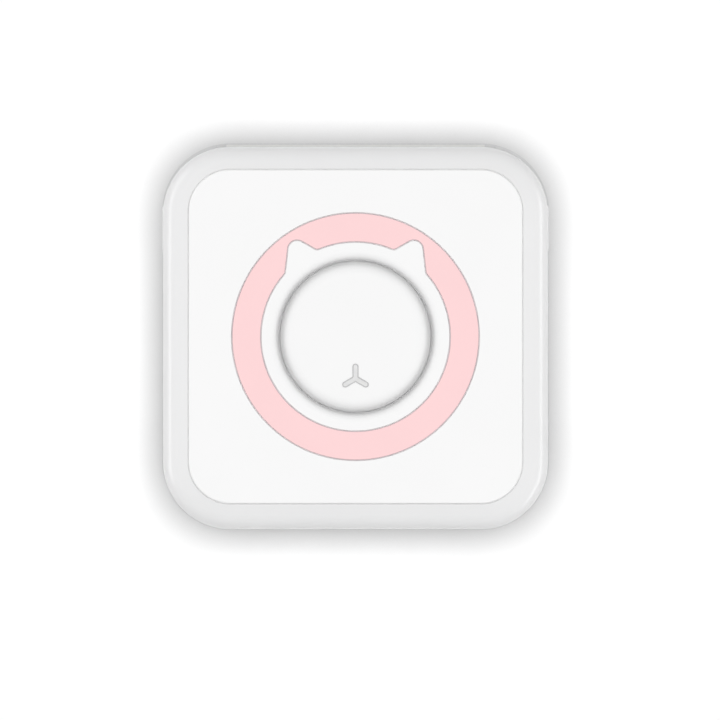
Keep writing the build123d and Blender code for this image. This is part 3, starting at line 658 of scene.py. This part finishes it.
def socket(node, poles, pitch, plug):
    """A board connector: housing with pole windows, tin tails and its latch or the plug on its leads."""
    (x0, y0, z0), (x1, y1, z1) = node_box(node)
    middle = (x0 + x1) / 2
    back, front, cheek, half_tail = y0 + 0.5, y1 - 0.3, 0.6, 0.12
    case = [((x0, back, z0 + 0.2), (x1, front, z1)), ((x0, back, z0), (x0 + cheek, front, z1))]
    case.append(((x1 - cheek, back, z0), (x1, front, z1)))
    box_piece(node + "_case", case, "cover", "connector_white", 0.1, replaces=node)
    tails = []
    for index in range(poles):
        x = middle + (index - (poles - 1) / 2) * pitch
        tails.append(((x - half_tail, y0, z1 - 0.15), (x + half_tail, y0 + 0.7, z1)))
        tails.append(((x - half_tail, y0 + 0.8, z0 + 0.14), (x + half_tail, y0 + 1.8, z0 + 0.24)))
    box_piece(node + "_tails", tails, "cover", "steel", 0.03, "solder_tin")
    if plug:
        bars = [((x0 + 0.7, y1 - 1.6, z0 + 0.02), (x1 - 0.7, y1, z1 - 0.4))]
        box_piece(node + "_plug", bars, "cover", "connector_white", 0.12)
    else:
        bars = [((x0 + 0.7, y1 - 1.5, z0), (x1 - 0.7, y1 - 0.35, z0 + 0.5))]
        box_piece(node + "_latch", bars, "cover", "chip_black", 0.12)


package("controller_chip", 12, 0.5, True)
package("driver_chip", 8, 0.6, False)

low, high = node_box("radio_shield")
rim_z, inset = low[2] + 0.25, 0.25
clip_pitch, half_clip, clip_low, clip_high = 2.0, 0.5, low[2] + 0.2, low[2] + 0.9
lid = [((low[0], low[1], low[2]), (high[0], high[1], rim_z))]
lid.append(((low[0] + inset, low[1] + inset, clip_low), (high[0] - inset, high[1] - inset, high[2])))
for index in range(5):
    x = low[0] + 2 + index * clip_pitch
    lid.append(((x - half_clip, low[1] + 0.1, clip_low), (x + half_clip, low[1] + 0.3, clip_high)))
    lid.append(((x - half_clip, high[1] - 0.3, clip_low), (x + half_clip, high[1] - 0.1, clip_high)))
box_piece("radio_shield_lid", lid, "cover", "steel", 0.18, replaces="radio_shield")

low, high = node_box("status_led")
base_thick, dome_sink, dome_size = 0.35, 0.3, (0.65, 0.65, 0.4)
base = [(low, (high[0], high[1], low[2] + base_thick))]
box_piece("status_led_base", base, "cover", "connector_white", 0.08)
bm = bmesh.new()
bmesh.ops.create_uvsphere(bm, u_segments=24, v_segments=12, radius=1.0)
middle = [(a + b) / 2 * MM for a, b in zip(low, high)]
place = Matrix.Translation((middle[0], middle[1], (low[2] + dome_sink) * MM))
dome = place @ Matrix.Diagonal((*(size * MM for size in dome_size), 1))
bmesh.ops.transform(bm, matrix=dome, verts=bm.verts)
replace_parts(piece("status_led_dome", bm, "cover", "led", smooth=True), "status_led")

low, high = node_box("reset_switch")
x_in, x_plate, x_out = high[0] - 0.95, high[0] - 0.8, high[0]
y_low, y_high, y_mid = low[1] + 0.2, high[1] - 0.2, (low[1] + high[1]) / 2
case = [(low, (high[0] - 0.9, high[1], high[2]))]
plate = [((low[0] + 0.3, y_low, low[2]), (x_plate, y_high, low[2] + 0.12)),
         ((x_in, y_low, low[2] + 0.1), (x_plate, y_high, high[2] - 0.3))]
key = [((high[0] - 0.85, y_mid - 0.6, low[2] + 0.7), (x_out, y_mid + 0.6, low[2] + 1.6))]
box_piece("reset_switch_case", case, "cover", "chip_black", 0.12, replaces="reset_switch")
box_piece("reset_switch_plate", plate, "cover", "steel", 0.04)
box_piece("reset_switch_key", key, "cover", "inner_plastic", 0.15)

socket("flex_connector", 30, 0.6, False)
socket("battery_connector", 2, 2.0, True)
socket("motor_connector", 4, 1.2, True)

low, high = node_box("usb_tongue")
contact_count, contact_pitch, half_contact = 12, 0.5, 0.13
contact_in, contact_out, skin_in, skin_out = high[0] - 4.2, high[0] - 0.35, 0.02, 0.03
contacts = []
for index in range(contact_count):
    y = (low[1] + high[1]) / 2 + (index - (contact_count - 1) / 2) * contact_pitch
    for surface, down, up in ((high[2], skin_in, skin_out), (low[2], skin_out, skin_in)):
        first = (contact_in, y - half_contact, surface - down)
        contacts.append((first, (contact_out, y + half_contact, surface + up)))
box_piece("usb_contacts", contacts, "cover", "brass", 0.01, "contact_gold")

# Small parts on the underside of the board, clear of the hood, the battery and the sockets
PASSIVES_AT = [
    (-13.5, 7.0), (-16.0, 5.2), (-16.0, 2.8), (-13.5, 2.6), (13.0, 6.6), (13.2, 4.4), (13.2, 2.4),
    (16.4, 6.4), (16.6, 3.2), (27.4, 5.8), (27.6, 3.0), (-28.4, 8.4), (16.6, 12.0), (16.6, 14.5),
    (16.6, 17.0), (16.6, 20.5), (16.2, 23.5), (-10.0, 7.2), (10.2, 7.2),
]
PASSIVE_SIZES = ((0.8, 0.45, 0.35), (0.6, 0.35, 0.3), (1.1, 0.7, 0.6))
BODY_SHARE = 0.62
PAD_REACH = 0.3
ends, cores, pads = [], [], []
for index, (x, y) in enumerate(PASSIVES_AT):
    long, wide, tall = PASSIVE_SIZES[index % 3]
    if index % 2:
        long, wide = wide, long
    along = 0 if long > wide else 1
    ends.append(((x - long, y - wide, BOARD_Z - tall), (x + long, y + wide, BOARD_Z)))
    inner = [long, wide]
    inner[along] *= BODY_SHARE
    inner[1 - along] += 0.01
    first = (x - inner[0], y - inner[1], BOARD_Z - tall - 0.01)
    cores.append((first, (x + inner[0], y + inner[1], BOARD_Z - 0.03)))
    pad = [long, wide]
    pad[along] += PAD_REACH
    pads.append(((x - pad[0], y - pad[1], BOARD_Z - 0.06), (x + pad[0], y + pad[1], BOARD_Z + 0.01)))
box_piece("passive_ends", ends, "cover", "steel", 0.04, "solder_tin")
box_piece("passive_bodies", cores, "cover", "chip_black", 0.03, "passive_body")
box_piece("passive_pads", pads, "cover", "steel", 0.02, "solder_tin")


# Screws
def cross_drives(node, xs, ys, mouth_z, up, body):
    """Four wedges in each screw's round recess leave a cross-shaped drive."""
    reach, core, depth = 0.7, 0.25, 0.5
    bm = bmesh.new()
    for x, y in [(x, y) for x in xs for y in ys]:
        for quarter in range(4):
            ring = []
            for step in range(5):
                angle = math.pi / 2 * quarter + math.radians(18 + 54 * step / 4)
                ring.append((reach * math.cos(angle), reach * math.sin(angle)))
            corner = math.pi / 2 * quarter + math.pi / 4
            ring.append((core * math.cos(corner), core * math.sin(corner)))
            far_z = mouth_z + up * depth
            lower = [bm.verts.new(((x + a) * MM, (y + b) * MM, mouth_z * MM)) for a, b in ring]
            upper = [bm.verts.new(((x + a) * MM, (y + b) * MM, far_z * MM)) for a, b in ring]
            bm.faces.new(lower)
            bm.faces.new(upper)
            for i in range(len(ring)):
                j = (i + 1) % len(ring)
                bm.faces.new((lower[i], lower[j], upper[j], upper[i]))
    bmesh.ops.recalc_face_normals(bm, faces=bm.faces[:])
    piece(node + "_drives", bm, body, "steel")


for screw, (xs, ys, mouth_z, up, body) in SCREWS.items():
    cross_drives(screw, xs, ys, mouth_z, up, body)

# The leaf spring, which bends where the lifting head presses its two feet, as a plain copy of its node's
# mesh
leaf = node_copy("pressure_spring", "pressure_spring_leaf")
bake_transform(leaf)

# Battery: amber tape round its left end and the folded side seams of the pouch
low, high = node_box("battery")
x0, x1 = low[0] + 0.6, low[0] + 4.6
skin, sunk, rounded_side = 0.06, 0.02, 1.6
z0, z1 = low[2] + rounded_side, high[2] - rounded_side
band = [((x0, low[1] - skin, z0), (x1, low[1] + sunk, z1)),
        ((x0, high[1] - sunk, z0), (x1, high[1] + skin, z1)),
        ((x0, low[1] + rounded_side, low[2] - skin), (x1, high[1] - rounded_side, low[2] + sunk))]
box_piece("battery_band", band, "cover", "flex_film", 0.02, "amber_tape")
x0, x1 = low[0] + 0.5, high[0] - 0.5
seam_reach, seam_low, seam_high = 0.25, low[2] + 2.6, low[2] + 2.9
seams = [((x0, low[1] - seam_reach, seam_low), (x1, low[1] + sunk, seam_high)),
         ((x0, high[1] - sunk, seam_low), (x1, high[1] + seam_reach, seam_high))]
box_piece("battery_seams", seams, "cover", "cell_foil", 0.05)

# Print head: the sealed driver ridge behind the heater
low, high = node_box("heater_strip")
half_bead = 26.0
bead = [((-half_bead, low[1] - 2.2, high[2] - 0.75), (half_bead, low[1] - 0.35, high[2] + 0.02))]
box_piece("head_driver_bead", bead, "head", "chip_black", 0.3)

# Motor: terminal block and its four pins
low, high = node_box("motor_can")
block_reach, block_y, block_z, pin_reach, pin_y, pin_z = 1.3, 3.0, 1.6, 1.7, 0.2, 0.3
terminal = [((low[0] - block_reach, MOTOR_Y - block_y, MOTOR_Z - block_z),
             (low[0] + 0.05, MOTOR_Y + block_y, MOTOR_Z + block_z))]
box_piece("motor_terminals", terminal, "cover", "connector_white", 0.2)
pins = []
for step in (-1.5, -0.5, 0.5, 1.5):
    y = MOTOR_Y + 1.5 * step
    first = (low[0] - pin_reach, y - pin_y, MOTOR_Z - pin_z)
    pins.append((first, (low[0] - 1.2, y + pin_y, MOTOR_Z + pin_z)))
box_piece("motor_pins", pins, "cover", "steel", 0.05, "solder_tin")

# Light level: sky and sun strengths, softbox watts and the floor's lift to white
AMBIENT = 0.095
OVERHEAD = 2.76
SUN_SPREAD = 30.0
SIDE_POWER = 1.9
SIDE_PLACE = (0.9, -0.2, 0.14)
SIDE_WIDE, SIDE_HIGH = 1.2, 0.2
SIDE_AIM = (0, 0, 0.03)
FLOOR_HALF = 6.0
FLOOR_LIFT = 0.06
# The shadow painted on the floor: its reach, and its tones from close to the object out to open floor
FLOOR_SHADOW_REACH = 9
FLOOR_SHADOW_TONES = ((0.42, 0.7), (0.95, 0.93))


# Stage
def seen_rays(tree):
    """1 for rays from the camera, a reflection or a clear body, 0 for rays that light things."""
    path = tree.nodes.new("ShaderNodeLightPath")
    seen = tree.nodes.new("ShaderNodeMath")
    seen.operation = "MAXIMUM"
    both = tree.nodes.new("ShaderNodeMath")
    both.operation = "MAXIMUM"
    tree.links.new(path.outputs["Is Camera Ray"], seen.inputs[0])
    tree.links.new(path.outputs["Is Glossy Ray"], seen.inputs[1])
    tree.links.new(seen.outputs[0], both.inputs[0])
    tree.links.new(path.outputs["Is Transmission Ray"], both.inputs[1])
    return both.outputs[0]


def floor():
    """A pale floor with a painted shadow that darkens it close to the object, lifted to white for the
    camera.
    """
    mesh = bpy.data.meshes.new("floor")
    half = FLOOR_HALF
    corners = [(-half, -half, 0), (half, -half, 0), (half, half, 0), (-half, half, 0)]
    mesh.from_pydata(corners, [], [(0, 1, 2, 3)])
    obj = bpy.data.objects.new("floor", mesh)
    bpy.context.scene.collection.objects.link(obj)
    material = bpy.data.materials.new("floor_pale")
    material.use_nodes = True
    tree = material.node_tree
    tree.nodes.clear()
    out = tree.nodes.new("ShaderNodeOutputMaterial")
    diffuse = tree.nodes.new("ShaderNodeBsdfDiffuse")
    # Painted shadow: the floor's colour darkens close to the object
    painted_shadow = tree.nodes.new("ShaderNodeAmbientOcclusion")
    painted_shadow.samples = SKY_SAMPLES
    painted_shadow.inputs["Distance"].default_value = FLOOR_SHADOW_REACH * MM
    tone = tree.nodes.new("ShaderNodeValToRGB")
    for element, (place, value) in zip(tone.color_ramp.elements, FLOOR_SHADOW_TONES):
        element.position = place
        element.color = (value, value, value, 1.0)
    glow = tree.nodes.new("ShaderNodeEmission")
    level = tree.nodes.new("ShaderNodeMath")
    level.operation = "MULTIPLY"
    level.inputs[1].default_value = FLOOR_LIFT
    total = tree.nodes.new("ShaderNodeAddShader")
    link = tree.links.new
    link(painted_shadow.outputs["AO"], tone.inputs["Fac"])
    link(tone.outputs["Color"], diffuse.inputs["Color"])
    link(seen_rays(tree), level.inputs[0])
    link(level.outputs[0], glow.inputs["Strength"])
    link(diffuse.outputs[0], total.inputs[0])
    link(glow.outputs[0], total.inputs[1])
    link(total.outputs[0], out.inputs["Surface"])
    mesh.materials.append(material)


def world():
    """White to the camera and in reflections, dim as a light."""
    scene = bpy.context.scene
    scene.world = bpy.data.worlds.new("studio")
    scene.world.use_nodes = True
    tree = scene.world.node_tree
    tree.nodes.clear()
    out = tree.nodes.new("ShaderNodeOutputWorld")
    back = tree.nodes.new("ShaderNodeBackground")
    back.inputs["Color"].default_value = (1.0, 1.0, 1.0, 1.0)
    level = tree.nodes.new("ShaderNodeMapRange")
    level.inputs["To Min"].default_value = AMBIENT
    level.inputs["To Max"].default_value = 1.0
    tree.links.new(seen_rays(tree), level.inputs["Value"])
    tree.links.new(level.outputs[0], back.inputs["Strength"])
    tree.links.new(back.outputs[0], out.inputs["Surface"])


def softbox(name, side):
    """A long low lamp at the left, side -1, or at the right, side 1, set a little off the middle."""
    light = bpy.data.lights.new(name, "AREA")
    light.shape = "RECTANGLE"
    light.size = SIDE_WIDE
    light.size_y = SIDE_HIGH
    light.energy = SIDE_POWER
    obj = bpy.data.objects.new(name, light)
    bpy.context.scene.collection.objects.link(obj)
    x, y, z = SIDE_PLACE
    place = Vector((side * x, side * y, z))
    obj.location = place
    obj.rotation_mode = "QUATERNION"
    obj.rotation_quaternion = (Vector(SIDE_AIM) - place).to_track_quat("-Z", "Y")


sun = bpy.data.lights.new("overhead", "SUN")
sun.energy = OVERHEAD
sun.angle = math.radians(SUN_SPREAD)
overhead = bpy.data.objects.new("overhead", sun)
bpy.context.scene.collection.objects.link(overhead)
overhead.visible_glossy = False
softbox("left_box", -1)
softbox("right_box", 1)
world()
floor()

# Camera straight above the face, with the photograph's framing in its own pixels
PIXEL = 0.2191 * MM
FRAME_PIXELS = 720
OBJECT_LEFT, OBJECT_UP = 4.5, 23.4
HEIGHT = 6.0
SENSOR = 36.0
camera_data = bpy.data.cameras.new("camera")
camera_data.sensor_width = SENSOR
camera_data.lens = SENSOR * (HEIGHT - FACE_Z * MM) / (FRAME_PIXELS * PIXEL)
camera = bpy.data.objects.new("camera", camera_data)
bpy.context.scene.collection.objects.link(camera)
camera.location = (OBJECT_LEFT * PIXEL, -OBJECT_UP * PIXEL, HEIGHT)
bpy.context.scene.camera = camera
bpy.context.scene.view_settings.view_transform = "Standard"
